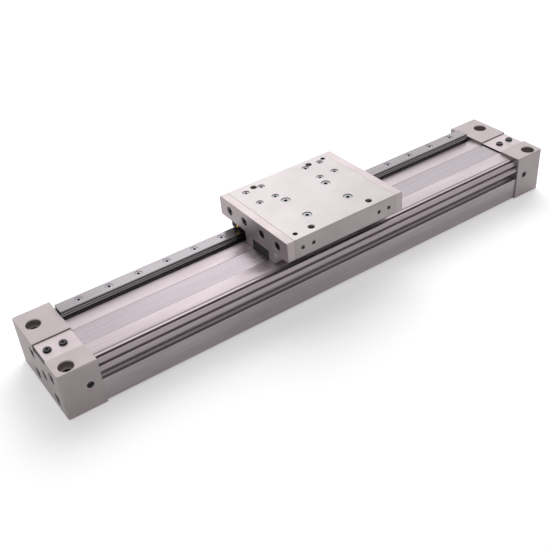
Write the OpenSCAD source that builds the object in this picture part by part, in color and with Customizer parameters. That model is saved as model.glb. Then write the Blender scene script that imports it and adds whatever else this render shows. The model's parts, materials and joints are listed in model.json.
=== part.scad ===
// Rodless pneumatic cylinder: a slotted tube sealed by two bands, a piston that
// carries a slide table through the slot, and a linear guide beside it.
// X runs along the tube, -Y is the piston side and +Y the guide side, Z is up.
// The origin is on the mounting plane, midway between the two head covers.

/* [Travel] */
// Working stroke of the slide table
stroke = 250; // [100:10:500]
// Where the table stands, measured from the middle of the stroke
table_x = 8; // [-20:1:20]
// Piston face to head cover at the end of the stroke
end_gap = 2; // [1.8:0.1:4]

/* [Head covers] */
// Length of one head cover along the tube
cover_l = 30; // [30:1:36]
// Width of the head covers
cover_w = 84; // [84:0.5:90]
// Height of the head covers above the mounting plane
cover_h = 40; // [40:0.5:42]
// Radius of the long edges of a head cover
cover_edge_r = 1.5; // [1:0.1:2]
// Radius of the outer upright corners of a head cover
cover_corner_r = 3; // [2:0.5:4]
// Width of the trough that the band clamp lies in
trough_w = 23; // [22.5:0.5:25]
// Diameter of a mounting hole
mount_hole_d = 6.6; // [5.5:0.1:7]
// Counterbore diameter of a mounting hole
mount_head_d = 11; // [10:0.5:11.5]
// Counterbore depth of a mounting hole
mount_head_h = 5; // [4.5:0.5:6.5]
// Mounting holes from the outer end face
mount_hole_in = 10; // [9:0.5:11]
// Mounting hole on the piston side, from the centre line
mount_front_y = 34; // [33:0.5:35]
// Mounting hole on the guide side, from the centre line
mount_back_y = 24; // [23:0.5:26]
// Core diameter of an air port thread
port_d = 8.6; // [8:0.1:9]
// Depth of an air port thread
port_depth = 9; // [8:0.5:9.5]

/* [Tube] */
// Width of the extruded tube
tube_w = 82; // [80:0.5:83]
// Height of the top of the tube above the mounting plane
tube_top = 38; // [37.5:0.1:38.4]
// Gap between the tube and the mounting plane
tube_foot = 1; // [0.5:0.1:1.5]
// Bore of the tube
bore_d = 25; // [24:0.1:25.4]
// Distance of the bore from the centre line
bore_off = 9; // [8.5:0.1:9.5]
// Height of the bore axis
bore_z = 19; // [18.6:0.1:19.2]
// Width of the slot along the tube
slot_w = 7; // [6:0.1:7.4]
// Height of the ledge that carries the guide rail
ledge_z = 34; // [33.5:0.1:34.2]
// Height of the sensor grooves on both sides
groove_z = 24.2; // [23.8:0.1:24.4]
// Mouth of a sensor groove
groove_mouth = 7; // [6.4:0.1:7.2]

/* [Bands] */
// Width of the steel dust band
band_w = 20; // [18:0.5:20.5]
// Thickness of the steel dust band
band_t = 0.3; // [0.2:0.05:0.35]
// Width of the inner seal belt
belt_w = 11.4; // [10:0.1:11.6]
// Thickness of the inner seal belt
belt_t = 1.6; // [1.2:0.1:1.7]

/* [Guide] */
// Distance of the guide rail from the centre line
rail_off = 26; // [25.5:0.1:26.5]
// Width of the guide rail
rail_w = 12; // [11:0.1:12.4]
// Height of the guide rail
rail_h = 9.2; // [8.8:0.1:9.4]
// Pitch of the guide rail screws
rail_pitch = 25; // [20:1:40]
// Width of a guide block
block_w = 27; // [26:0.5:28]
// Length of a guide block body
block_l = 34; // [32:0.5:34.5]
// Diameter of the guide balls
ball_d = 2; // [1.8:0.05:2.1]

/* [Slide table] */
// Length of the table plate between its end covers
table_l = 98; // [98:0.5:104]
// Width of the table
table_w = 94; // [92:0.5:98]
// Thickness of the table plate
table_t = 17; // [15:0.5:20]
// Height of the underside of the table
table_z = 49; // [49:0.1:50]
// Thickness of a table end cover
end_cover_t = 7; // [6:0.5:8]
// Spacing of the load holes along the table
load_pitch_x = 56; // [54:0.5:58]
// Spacing of the load holes across the table
load_pitch_y = 78; // [76:0.5:80]
// Core diameter of the load hole threads
load_hole_d = 5; // [4.2:0.1:6]
// Depth of the load hole threads
load_hole_depth = 12; // [8:0.5:13]

/* [Piston] */
// Half the length over both pistons
piston_half = 78; // [78:0.5:82]
// Half the length of the yoke between the pistons
yoke_half = 26; // [25:0.5:26]
// Width of the yoke neck in the slot
neck_w = 6.2; // [5:0.1:6.4]
// Diameter of the cushion boss
boss_d = 9.6; // [9:0.1:9.8]
// How far the cushion boss stands in the bore
boss_reach = 18; // [12:0.5:19]

/* [Clearances] */
// Screws, pins and plugs in their holes, on the diameter
fit_gap = 0.1; // [0.05:0.01:0.15]
// Running clearance between sliding parts
run_gap = 0.4; // [0.3:0.05:0.45]
// Clearance of sealing and rolling parts
seal_gap = 0.15; // [0.1:0.01:0.2]

/* [Hidden] */
$fn = 48;
tiny = 0.01;

alu_clear = [0.86, 0.84, 0.85];
alu_grey = [0.62, 0.58, 0.59];
steel = [0.72, 0.72, 0.74];
dark_steel = [0.3, 0.3, 0.32];
black_rubber = [0.08, 0.08, 0.09];
black_resin = [0.14, 0.14, 0.15];
white_resin = [0.85, 0.84, 0.8];
brass = [0.75, 0.62, 0.35];

// Ends and heights that several pieces share
tube_half = stroke / 2 + piston_half + end_gap;
side_y = tube_w / 2;
bore_y = -bore_off;
bore_r = bore_d / 2;
rail_y = rail_off;
table_half = table_l / 2;
table_top = table_z + table_t;

// Head cover screws stand round the bore
cover_screw_d = 5;
cover_screw_dy = 17.5;
cover_screw_dz = 9.75;
cover_head_d = 8.5;
cover_head_h = 5;
cover_bore_h = 5.5;
cover_thread_l = 14;

// Bands in the tube
band_seat_z = tube_top - 0.4;
band_z = band_seat_z;
band_up_z = table_z - 5.8;
belt_seat_w = belt_w + 0.6;
belt_seat_z = 32.2;
belt_z = belt_seat_z - 0.3 - belt_t;
belt_low_z = 23.2;
trough_z = 34.8;
slip = 0.3;

// Where the bands leave and reach their seats, from the middle of the table
lift_in = yoke_half + 1;
lift_out = table_half - 3;
dip_short = 25;
dip_out = piston_half - dip_short;
band_end = tube_half + cover_l - 2;

// Rail and blocks
rail_z = ledge_z - 0.6;
rail_top = rail_z + rail_h;
rail_half = tube_half - 0.5;
rail_screw_n = floor((2 * rail_half - 20) / rail_pitch) + 1;
rail_screw_d = 3;
rail_head_d = 5.5;
rail_head_h = 3;
rail_head_z = rail_top - rail_head_h - 0.3;
rail_thread_z = rail_z - 7.4;
rail_screw_tip = rail_thread_z + 1.5;
ball_z = rail_top - 2;
ball_off = rail_w / 2 + run_gap / 2;
block_x = 30;
block_bottom = tube_top + 0.8;
block_plate_t = 4;
block_seal_t = 1;
block_pitch_x = 15;
block_pitch_y = 20;
m3 = 3;
m4 = 4;

// Pistons
piston_r = bore_r - 0.3;
piston_flat_z = belt_z - 0.2;
piston_in = yoke_half + 1;
wear_x = piston_half - 24;
wear_w = 6;
magnet_x = piston_half - 16.5;
magnet_w = 3;
seal_x = piston_half - 12;
seal_w = 4;
ring_core_r = 9.6;
cushion_hole_r = boss_d / 2 + 0.5;
cushion_hole_l = boss_reach + 3;
cushion_seal_x = piston_half - 4;
cushion_seal_w = 2;
tongue_w = 8;
tongue_l = 10.8;
tongue_z = 11;
tongue_h = 9;
pin_x = yoke_half + 6;
pin_d = 4;
pin_l = 22;

// Rollers that press the dust band back into its seat
roller_d = 6;
roller_pin_d = 2;
roller_x = table_half + 0.5;
roller_z = band_z + band_t + roller_d / 2 + seal_gap;
roller_w = band_w - 1;
skirt_in = table_half - 5.5;
skirt_z = tube_top + 0.4;
skirt_front = bore_y - band_w / 2 - 9;
skirt_back = bore_y + band_w / 2 + 11;
yoke_flange_w = 36;
yoke_flange_z = tube_top + 0.6;
channel_w = band_w + 1;

// Cushion needles
needle_x = 9;
needle_z = 22;
needle_d = 5;
needle_l = 9;

// ---- helpers -------------------------------------------------------------

// Cuboid from its lowest to its highest corner
module box(a, b) {
    translate(a)
        cube(b - a);
}

// Extrudes a (y, z) sketch along X
module along_x(x0, x1) {
    translate([x0, 0, 0])
        rotate([90, 0, 90])
            linear_extrude(x1 - x0)
                children();
}

// Extrudes an (x, z) sketch along Y
module along_y(y0, y1) {
    translate([0, y1, 0])
        rotate([90, 0, 0])
            linear_extrude(y1 - y0)
                children();
}

module rod_x(x0, x1, y, z, d) {
    translate([x0, y, z])
        rotate([0, 90, 0])
            cylinder(h = x1 - x0, d = d);
}

module rod_y(x, y0, y1, z, d) {
    translate([x, y1, z])
        rotate([90, 0, 0])
            cylinder(h = y1 - y0, d = d);
}

module rod_z(x, y, z0, z1, d) {
    translate([x, y, z0])
        cylinder(h = z1 - z0, d = d);
}

// Ring on an X axis
module ring_x(x0, x1, y, z, r_out, r_in) {
    difference() {
        rod_x(x0, x1, y, z, 2 * r_out);
        rod_x(x0 - 1, x1 + 1, y, z, 2 * r_in);
    }
}

// Rectangle with round corners
module soft_rect(a, b, r) {
    translate([a[0] + r, a[1]])
        square([b[0] - a[0] - 2 * r, b[1] - a[1]]);
    translate([a[0], a[1] + r])
        square([b[0] - a[0], b[1] - a[1] - 2 * r]);
    for (u = [a[0] + r, b[0] - r])
        for (v = [a[1] + r, b[1] - r])
            translate([u, v])
                circle(r);
}

// Socket screw pointing down, with the underside of its head at the origin
module socket_screw(d, l, head_d, head_h, key) {
    difference() {
        union() {
            translate([0, 0, -l])
                cylinder(h = l + tiny, d = d);
            cylinder(h = head_h, d = head_d);
        }
        translate([0, 0, head_h * 0.45])
            cylinder(h = head_h, d = key / cos(30), $fn = 6);
    }
}

// side is -1 for the left end and 1 for the right end
module facing(side) {
    if (side < 0)
        mirror([1, 0, 0])
            children();
    else
        children();
}

// Puts a piece drawn from the inner face of a head cover on both tube ends
module at_tube_end(side) {
    facing(side)
        translate([tube_half, 0, 0])
            children();
}

module at_both_tube_ends() {
    for (side = [-1, 1])
        at_tube_end(side)
            children();
}

// Puts a piece drawn from the middle of the table where the table stands
module on_table(side) {
    translate([table_x, 0, 0])
        facing(side)
            children();
}

module on_both_table_ends() {
    for (side = [-1, 1])
        on_table(side)
            children();
}

// ---- tube ----------------------------------------------------------------

// Outer line of the extrusion: a bevel, an undercut and a leaning lip on the piston side,
// a gutter behind the lip, raised middle and a ledge for the guide rail
module tube_outline() {
    polygon([
        [-side_y + 0.8, tube_foot],
        [-side_y, tube_foot + 0.8],
        [-side_y, tube_top - 8.2],
        [-side_y + 1.6, tube_top - 6.6],
        [-side_y + 3.6, tube_top - 6.6],
        [-side_y + 3.6, tube_top - 5.2],
        [-side_y + 1.9, tube_top - 4.6],
        [-side_y + 1.8, tube_top - 4.2],
        [-side_y + 2.9, tube_top - 1.2],
        [-side_y + 3.1, tube_top - 1],
        [-side_y + 3.6, tube_top - 1],
        [-side_y + 3.6, tube_top - 3.2],
        [-side_y + 6.1, tube_top - 3.2],
        [-side_y + 6.1, tube_top - 0.7],
        [-side_y + 8, tube_top - 0.7],
        [-side_y + 8.8, tube_top],
        [raised_back - 0.8, tube_top],
        [raised_back, tube_top - 0.8],
        [raised_back, ledge_z + 0.8],
        [raised_back + 0.8, ledge_z],
        [side_y - 0.6, ledge_z],
        [side_y, ledge_z - 0.6],
        [side_y, tube_foot + 0.8],
        [side_y - 0.8, tube_foot]
    ]);
}

// T groove for a sensor, drawn inwards from the side face
module sensor_groove() {
    mouth = groove_mouth / 2;
    wing = mouth + 1.2;
    polygon([
        [-1, -mouth - 0.3], [0, -mouth - 0.3], [0.3, -mouth], [1.4, -mouth],
        [1.4, -wing], [4.4, -wing], [5.6, -mouth - 0.2],
        [5.6, mouth + 0.2], [4.4, wing], [1.4, wing],
        [1.4, mouth], [0.3, mouth], [0, mouth + 0.3], [-1, mouth + 0.3]
    ]);
}

// Slot, belt seat and band seat, cut from the bore to the top
module slot_sketch() {
    translate([bore_y - slot_w / 2, bore_z])
        square([slot_w, tube_top]);
    translate([bore_y - belt_seat_w / 2, bore_z])
        square([belt_seat_w, belt_seat_z - bore_z]);
    translate([bore_y - band_w / 2 - 0.2, band_seat_z])
        square([band_w + 0.4, 2]);
    for (s = [-1, 1])
        translate([bore_y + s * magnet_strip_y - magnet_strip_w / 2, band_seat_z - magnet_strip_t])
            square([magnet_strip_w, magnet_strip_t + tiny]);
}

magnet_strip_y = 6.8;
magnet_strip_w = 3;
magnet_strip_t = 1.2;
airway_d = 5;
hollow_half = rail_w / 2 + 1;
hollow_low = 5;
hollow_top = ledge_z - 7;
relief_half = 30;
raised_back = rail_y - rail_w / 2 - 4;

module cylinder_tube() {
    color(alu_clear)
        difference() {
            along_x(-tube_half, tube_half)
                difference() {
                    tube_outline();
                    translate([bore_y, bore_z])
                        circle(bore_r);
                    slot_sketch();
                    translate([-side_y, groove_z])
                        sensor_groove();
                    translate([side_y, groove_z])
                        mirror([1, 0])
                            sensor_groove();
                    translate([rail_y - rail_w / 2 - 0.1, rail_z])
                        square([rail_w + 0.2, 5]);
                    soft_rect([rail_y - hollow_half, hollow_low], [rail_y + hollow_half, hollow_top], 3);
                    for (y = [bore_y - 20.5, bore_y + 21])
                        translate([y, bore_z])
                            circle(d = airway_d);
                    for (y = [-1, 1])
                        for (z = [-1, 1])
                            translate([bore_y + y * cover_screw_dy, bore_z + z * cover_screw_dz])
                                circle(d = cover_screw_d + fit_gap);
                    translate([-relief_half, 0])
                        square([2 * relief_half, tube_foot + 0.6]);
                }
            at_rail_screws()
                rod_z(0, rail_y, rail_thread_z, rail_z + 1, rail_screw_d + fit_gap);
        }
}

// ---- head covers ---------------------------------------------------------

module cover_screw_places() {
    for (y = [-1, 1])
        for (z = [-1, 1])
            translate([0, bore_y + y * cover_screw_dy, bore_z + z * cover_screw_dz])
                children();
}

module mount_holes() {
    for (y = [-mount_front_y, mount_back_y]) {
        rod_z(cover_l - mount_hole_in, y, -1, cover_h + 1, mount_hole_d);
        rod_z(cover_l - mount_hole_in, y, cover_h - mount_head_h, cover_h + 1, mount_head_d);
    }
}

// Ports on the end face and the guide side, joined to the cushion boss
module air_passages() {
    rod_x(cover_l - port_depth, cover_l + 1, bore_y, bore_z, port_d);
    rod_x(boss_socket - 1, cover_l - port_depth + tiny, bore_y, bore_z, 4);
    rod_y(side_port_x, bore_y, cover_w / 2 - port_depth, bore_z, 4);
    rod_y(side_port_x, cover_w / 2 - port_depth, cover_w / 2 + 1, bore_z, port_d);
    rod_y(needle_x, -cover_w / 2 - 1, needle_tip_y, needle_z, needle_d + 2 * seal_gap);
    rod_y(needle_x, needle_tip_y - 1, bore_y - 8, needle_z, 2);
    rod_x(-1, needle_x, bore_y - 9, needle_z, 2);
}

boss_socket = 9;
bumper_t = 1.5;
bumper_r = boss_d / 2 + 3.2;
side_port_x = 14;
needle_out_y = -cover_w / 2 + 0.6;
needle_tip_y = needle_out_y + needle_l + 1.2;
clamp_screw_x = [11, 23];
clamp_screw_bottom = 26.5;
belt_pocket_l = 14;
belt_end = tube_half + belt_pocket_l - 1;
gasket_r_in = 14;
gasket_r_out = 16;
gasket_t = 1.5;

// Band of the joint face that the belt pocket interrupts
module gasket_gap() {
    box([-1, bore_y - belt_w / 2 - 1.4, bore_z + 8], [3, bore_y + belt_w / 2 + 1.4, bore_z + 18]);
}

module head_cover() {
    color(alu_clear)
        difference() {
            intersection() {
                along_x(0, cover_l)
                    soft_rect([-cover_w / 2, 0], [cover_w / 2, cover_h], cover_edge_r);
                linear_extrude(cover_h)
                    union() {
                        translate([0, -cover_w / 2])
                            square([cover_l - cover_corner_r, cover_w]);
                        soft_rect([0, -cover_w / 2], [cover_l, cover_w / 2], cover_corner_r);
                    }
            }
            mount_holes();
            air_passages();
            box([-1, bore_y - trough_w / 2, trough_z], [cover_l + 1, bore_y + trough_w / 2, cover_h + 1]);
            box([-1, bore_y - belt_w / 2 - 0.4, belt_z - 0.2],
                [belt_pocket_l, bore_y + belt_w / 2 + 0.4, trough_z + 1]);
            rod_x(-1, boss_socket, bore_y, bore_z, boss_d + fit_gap);
            difference() {
                ring_x(-1, gasket_t, bore_y, bore_z, gasket_r_out, gasket_r_in);
                gasket_gap();
            }
            cover_screw_places() {
                rod_x(-1, cover_l + 1, 0, 0, cover_screw_d + fit_gap);
                rod_x(cover_l - cover_bore_h, cover_l + 1, 0, 0, cover_head_d + 0.7);
            }
            for (x = clamp_screw_x)
                rod_z(x, bore_y, clamp_screw_bottom, cover_h, m3 + fit_gap);
        }
}

module head_cover_left() {
    at_tube_end(-1)
        head_cover();
}

module head_cover_right() {
    at_tube_end(1)
        head_cover();
}

module head_cover_screws() {
    color(dark_steel)
        at_both_tube_ends()
            cover_screw_places()
                translate([cover_l - cover_bore_h, 0, 0])
                    rotate([0, 90, 0])
                        socket_screw(cover_screw_d, cover_l - cover_bore_h + cover_thread_l,
                                     cover_head_d, cover_head_h, 4);
}

module cover_gaskets() {
    color(black_rubber)
        at_both_tube_ends()
            difference() {
                ring_x(0, gasket_t - 0.05, bore_y, bore_z, gasket_r_out - 0.1, gasket_r_in + 0.1);
                gasket_gap();
            }
}

// Hollow spigot that the piston rides over at the end of the stroke
module cushion_bosses() {
    color(steel)
        at_both_tube_ends()
            translate([-boss_reach, bore_y, bore_z])
                rotate([0, 90, 0])
                    rotate_extrude()
                        polygon([
                            [2, 0], [boss_d / 2 - 1.2, 0], [boss_d / 2, 3],
                            [boss_d / 2, boss_reach + boss_socket], [2, boss_reach + boss_socket]
                        ]);
}

module stop_bumpers() {
    color(black_rubber)
        at_both_tube_ends()
            ring_x(-bumper_t, 0, bore_y, bore_z, bumper_r, boss_d / 2 + 0.05);
}

module port_plugs() {
    color(dark_steel)
        at_both_tube_ends()
            difference() {
                rod_y(side_port_x, cover_w / 2 - port_depth + 1, cover_w / 2 - 0.6, bore_z, port_d - fit_gap);
                translate([side_port_x, cover_w / 2, bore_z])
                    rotate([90, 0, 0])
                        cylinder(h = 5, d = 5 / cos(30), $fn = 6);
            }
}

// Needle screw with a driver slot and a tapered tip
module cushion_needle() {
    color(dark_steel)
        difference() {
            translate([needle_x, needle_out_y, needle_z])
                rotate([-90, 0, 0])
                    rotate_extrude()
                        polygon([
                            [0, 0], [needle_d / 2 - 0.4, 0], [needle_d / 2, 0.4],
                            [needle_d / 2, needle_l - 1], [1, needle_l], [0, needle_l + 0.8]
                        ]);
            box([needle_x - 3, needle_out_y - 1, needle_z - 0.4],
                [needle_x + 3, needle_out_y + 1.1, needle_z + 0.4]);
        }
}

module cushion_needle_left() {
    at_tube_end(-1)
        cushion_needle();
}

module cushion_needle_right() {
    at_tube_end(1)
        cushion_needle();
}

// ---- bands ---------------------------------------------------------------

// Strip that lies flat, changes height under the table and comes back
function strip_line(flat_z, mid_z, end_x, out_x, in_x) = [
    [-end_x, flat_z], [table_x - out_x, flat_z], [table_x - in_x, mid_z],
    [table_x + in_x, mid_z], [table_x + out_x, flat_z], [end_x, flat_z]
];

module strip(line, t) {
    back = [for (i = [len(line) - 1:-1:0]) line[i] + [0, t]];
    polygon(concat(line, back));
}

// Stainless band that closes the slot from outside and rises over the yoke
module dust_band() {
    color(steel)
        difference() {
            along_y(bore_y - band_w / 2, bore_y + band_w / 2)
                strip(strip_line(band_z, band_up_z, band_end, lift_out, lift_in), band_t);
            clamp_screw_holes();
        }
}

// Soft belt that closes the slot from inside and dips under the yoke neck
module seal_belt() {
    color(black_rubber)
        difference() {
            along_y(bore_y - belt_w / 2, bore_y + belt_w / 2)
                strip(strip_line(belt_z, belt_low_z, belt_end, dip_out, lift_in), belt_t);
            clamp_screw_holes();
        }
}

module clamp_screw_holes() {
    at_both_tube_ends()
        for (x = clamp_screw_x)
            rod_z(x, bore_y, clamp_screw_bottom, cover_h, m3 + fit_gap);
}

// Block in the trough that carries the band and holds the belt down
module belt_seats() {
    color(black_resin)
        at_both_tube_ends()
            difference() {
                union() {
                    box([0.2, bore_y - trough_w / 2 + slip, trough_z],
                        [cover_l - 1, bore_y + trough_w / 2 - slip, band_z - 0.05]);
                    box([0.2, bore_y - belt_w / 2 + 0.1, belt_z + belt_t + 0.1],
                        [belt_pocket_l - slip, bore_y + belt_w / 2 - 0.1, trough_z + tiny]);
                }
                for (x = clamp_screw_x)
                    rod_z(x, bore_y, clamp_screw_bottom, cover_h, m3 + fit_gap);
            }
}

clamp_top = cover_h - 0.9;
clamp_head_d = 5.6;
clamp_head_h = 1.6;
clamp_head_sink = 0.4;
clamp_screw_l = clamp_top - clamp_head_sink - clamp_screw_bottom;

// Plate that pinches the dust band, open at its inner edge where the band enters
module band_clamps() {
    color(alu_grey)
        at_both_tube_ends()
            difference() {
                box([0.6, bore_y - trough_w / 2 + slip, band_z + band_t + 0.05],
                    [cover_l - 1, bore_y + trough_w / 2 - slip, clamp_top]);
                box([0, bore_y - band_w / 2 - 0.5, 0], [4, bore_y + band_w / 2 + 0.5, band_z + band_t + 0.7]);
                for (x = clamp_screw_x)
                    translate([x, bore_y, 0]) {
                        cylinder(h = cover_h, d = m3 + fit_gap);
                        translate([0, 0, clamp_top - clamp_head_sink])
                            cylinder(h = 2, d = clamp_head_d + 0.6);
                    }
            }
}

module clamp_screws() {
    color(dark_steel)
        at_both_tube_ends()
            for (x = clamp_screw_x)
                translate([x, bore_y, clamp_top - clamp_head_sink])
                    socket_screw(m3, clamp_screw_l, clamp_head_d, clamp_head_h, 2);
}

// Magnetic strips beside the slot that draw the dust band down
module band_magnets() {
    color(black_resin)
        for (s = [-1, 1])
            box([-tube_half + 1, bore_y + s * magnet_strip_y - magnet_strip_w / 2 + 0.05,
                 band_seat_z - magnet_strip_t + 0.02],
                [tube_half - 1, bore_y + s * magnet_strip_y + magnet_strip_w / 2 - 0.05,
                 band_seat_z - 0.05]);
}

// ---- guide ---------------------------------------------------------------

module at_rail_screws() {
    for (i = [0:rail_screw_n - 1])
        translate([(i - (rail_screw_n - 1) / 2) * rail_pitch, 0, 0])
            children();
}

// Ball grooves on both sides of the rail, shared by rail and block
module ball_grooves() {
    for (s = [-1, 1])
        translate([rail_y + s * ball_off, ball_z])
            circle(ball_d / 2 + seal_gap);
}

module guide_rail() {
    color(steel)
        difference() {
            along_x(-rail_half, rail_half)
                difference() {
                    polygon([
                        [rail_y - rail_w / 2, rail_z],
                        [rail_y - rail_w / 2, ball_z - 2.6],
                        [rail_y - rail_w / 2 + 0.7, ball_z - 2],
                        [rail_y - rail_w / 2 + 0.7, ball_z - 1.4],
                        [rail_y - rail_w / 2, ball_z - 1],
                        [rail_y - rail_w / 2, rail_top - 0.5],
                        [rail_y - rail_w / 2 + 0.5, rail_top],
                        [rail_y + rail_w / 2 - 0.5, rail_top],
                        [rail_y + rail_w / 2, rail_top - 0.5],
                        [rail_y + rail_w / 2, ball_z - 1],
                        [rail_y + rail_w / 2 - 0.7, ball_z - 1.4],
                        [rail_y + rail_w / 2 - 0.7, ball_z - 2],
                        [rail_y + rail_w / 2, ball_z - 2.6],
                        [rail_y + rail_w / 2, rail_z]
                    ]);
                    ball_grooves();
                }
            at_rail_screws() {
                rod_z(0, rail_y, rail_z - 1, rail_top + 1, rail_screw_d + 0.4);
                rod_z(0, rail_y, rail_head_z, rail_top + 1, rail_head_d + 0.5);
            }
        }
}

module rail_screws() {
    color(steel)
        at_rail_screws()
            translate([0, rail_y, rail_head_z])
                socket_screw(rail_screw_d, rail_head_z - rail_screw_tip, rail_head_d, rail_head_h, 2.5);
}

// Space round the rail inside blocks and end plates
module rail_space(gap) {
    translate([rail_y - rail_w / 2 - gap, 0])
        square([rail_w + 2 * gap, rail_top + gap]);
}

module guide_block() {
    color(steel)
        difference() {
            along_x(block_x - block_l / 2, block_x + block_l / 2)
                difference() {
                    polygon([
                        [rail_y - block_w / 2, block_bottom + 2],
                        [rail_y - block_w / 2 + 1, block_bottom],
                        [rail_y + block_w / 2 - 1, block_bottom],
                        [rail_y + block_w / 2, block_bottom + 2],
                        [rail_y + block_w / 2, table_z - 1],
                        [rail_y + block_w / 2 - 1, table_z],
                        [rail_y - block_w / 2 + 1, table_z],
                        [rail_y - block_w / 2, table_z - 1]
                    ]);
                    rail_space(run_gap);
                    ball_grooves();
                }
            at_block_screws()
                rod_z(0, 0, table_z - block_thread_l - 0.5, table_z + 1, m3 + fit_gap);
        }
}

module at_block_screws() {
    for (x = [-1, 1])
        for (y = [-1, 1])
            translate([block_x + x * block_pitch_x / 2, rail_y + y * block_pitch_y / 2, 0])
                children();
}

module guide_block_left() {
    on_table(-1)
        guide_block();
}

module guide_block_right() {
    on_table(1)
        guide_block();
}

// Return caps of the balls on both ends of a block
module block_end_plates() {
    color(black_resin)
        on_both_table_ends()
            for (s = [-1, 1])
                translate([block_x + s * (block_l + block_plate_t) / 2, 0, 0])
                    along_x(-block_plate_t / 2, block_plate_t / 2)
                        difference() {
                            soft_rect([rail_y - block_w / 2 + 0.3, block_bottom + 0.2],
                                      [rail_y + block_w / 2 - 0.3, table_z - 0.4], 1);
                            rail_space(run_gap + 0.1);
                        }
}

module block_seals() {
    color(black_rubber)
        on_both_table_ends()
            for (s = [-1, 1])
                translate([block_x + s * (block_l / 2 + block_plate_t + block_seal_t / 2), 0, 0])
                    along_x(-block_seal_t / 2, block_seal_t / 2)
                        difference() {
                            soft_rect([rail_y - block_w / 2 + 0.8, block_bottom + 0.6],
                                      [rail_y + block_w / 2 - 0.8, table_z - 0.8], 1);
                            rail_space(seal_gap + 0.1);
                        }
}

// Loaded balls between the rail and the blocks
module guide_balls() {
    n = floor((block_l - 2) / (ball_d + 0.15));
    color(steel)
        on_both_table_ends()
            for (s = [-1, 1])
                for (i = [0:n - 1])
                    translate([block_x + (i - (n - 1) / 2) * (ball_d + 0.15), rail_y + s * ball_off, ball_z])
                        sphere(d = ball_d);
}

module grease_nipples() {
    color(brass)
        on_both_table_ends()
            translate([block_x + block_l / 2 + block_plate_t + block_seal_t, rail_y, rail_top + 3.4])
                rotate([0, 90, 0])
                    rotate_extrude()
                        polygon([[0, 0], [1.5, 0], [1.5, 1.4], [1, 1.9], [1.3, 2.6], [0.8, 3.2], [0, 3.2]]);
}

// ---- slide table ---------------------------------------------------------

// Screws down through the table, sunk below its top
yoke_screw_x = yoke_half - 6;
yoke_screw_head_d = 7;
yoke_screw_sink = 4.5;
yoke_thread_l = 7;
block_screw_head_d = 5.5;
block_screw_sink = 3.5;
block_thread_l = 4;
block_screw_l = table_t - block_screw_sink + block_thread_l;

module table_screw_holes(d, head_d, sink) {
    rod_z(0, 0, table_z - 1, table_top + 1, d + 0.4);
    rod_z(0, 0, table_top - sink, table_top + 1, head_d);
}

module at_yoke_screws() {
    for (x = [-1, 1])
        for (y = [-1, 1])
            translate([x * yoke_screw_x, bore_y + y * (yoke_flange_w + channel_w) / 4, 0])
                children();
}

module at_cover_holes() {
    for (s = [-1, 1])
        for (y = [cover_hole_in, table_w / 2 - cover_hole_out])
            translate([0, s * y, table_z + table_t / 2])
                children();
}

table_edge = 1;
load_chamfer = 0.4;
dowel_x = table_half - 6;
dowel_d = 4;
dowel_depth = 8;
bracket_hole_x = [table_half - 17, table_half - 7];
bracket_hole_d = 3.3;
bracket_hole_depth = 8;
cover_hole_in = 12;
cover_hole_out = 14;
cover_hole_depth = 8;

// Section of the table plate and its end covers
module table_outline() {
    y = table_w / 2;
    polygon([
        [-y, table_z + table_edge], [-y + table_edge, table_z], [y - table_edge, table_z],
        [y, table_z + table_edge], [y, table_top - table_edge], [y - table_edge, table_top],
        [-y + table_edge, table_top], [-y, table_top - table_edge]
    ]);
}

module slide_table() {
    color(alu_clear)
        translate([table_x, 0, 0])
            difference() {
                along_x(-table_half, table_half)
                    table_outline();
                for (x = [-1, 1])
                    for (y = [-1, 1])
                        translate([x * load_pitch_x / 2, y * load_pitch_y / 2, 0]) {
                            rod_z(0, 0, table_top - load_hole_depth, table_top + 1, load_hole_d);
                            translate([0, 0, table_top - load_chamfer])
                                cylinder(h = load_chamfer + tiny, d1 = load_hole_d,
                                         d2 = load_hole_d + 2 * load_chamfer + 2 * tiny);
                        }
                for (s = [-1, 1])
                    rod_z(s * dowel_x, s * load_pitch_y / 2, table_top - dowel_depth, table_top + 1, dowel_d);
                at_yoke_screws()
                    table_screw_holes(m4, yoke_screw_head_d + 0.6, yoke_screw_sink);
                for (side = [-1, 1])
                    facing(side) {
                        at_block_screws()
                            table_screw_holes(m3, block_screw_head_d + 0.5, block_screw_sink);
                        at_cover_holes()
                            rod_x(table_half - cover_hole_depth, table_half + 1, 0, 0, m4 + fit_gap);
                        for (x = bracket_hole_x)
                            rod_y(x, -table_w / 2 - 1, -table_w / 2 + bracket_hole_depth,
                                  table_z + table_t / 2, bracket_hole_d);
                    }
            }
}

// End cover with a skirt over the dust band that houses a roller
module table_cover() {
    color(alu_grey)
        difference() {
            union() {
                along_x(table_half, table_half + end_cover_t)
                    table_outline();
                box([skirt_in, skirt_front, skirt_z],
                    [table_half + end_cover_t, skirt_back, table_z - 0.05]);
                box([table_half, skirt_front, table_z - 1],
                    [table_half + end_cover_t, skirt_back, table_z + 2]);
            }
            box([skirt_in - 1, bore_y - band_w / 2 - 0.5, skirt_z - 1],
                [roller_x + roller_d / 2 + 0.4, bore_y + band_w / 2 + 0.5, roller_z + roller_d / 2 + 0.4]);
            rod_y(roller_x, bore_y - roller_pin_l / 2, bore_y + roller_pin_l / 2,
                  roller_z, roller_pin_d + fit_gap);
            scraper_space(0);
            at_cover_holes() {
                rod_x(table_half - 1, table_half + 20, 0, 0, m4 + 0.4);
                rod_x(table_half + end_cover_t - cover_head_sink, table_half + 20, 0, 0, end_head_d + 0.4);
            }
        }
}

roller_pin_l = roller_w + 9;
scraper_t = 1.6;
cover_head_sink = 4.4;
end_head_d = 7;
end_screw_l = end_cover_t - cover_head_sink + cover_hole_depth - 0.5;

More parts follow.
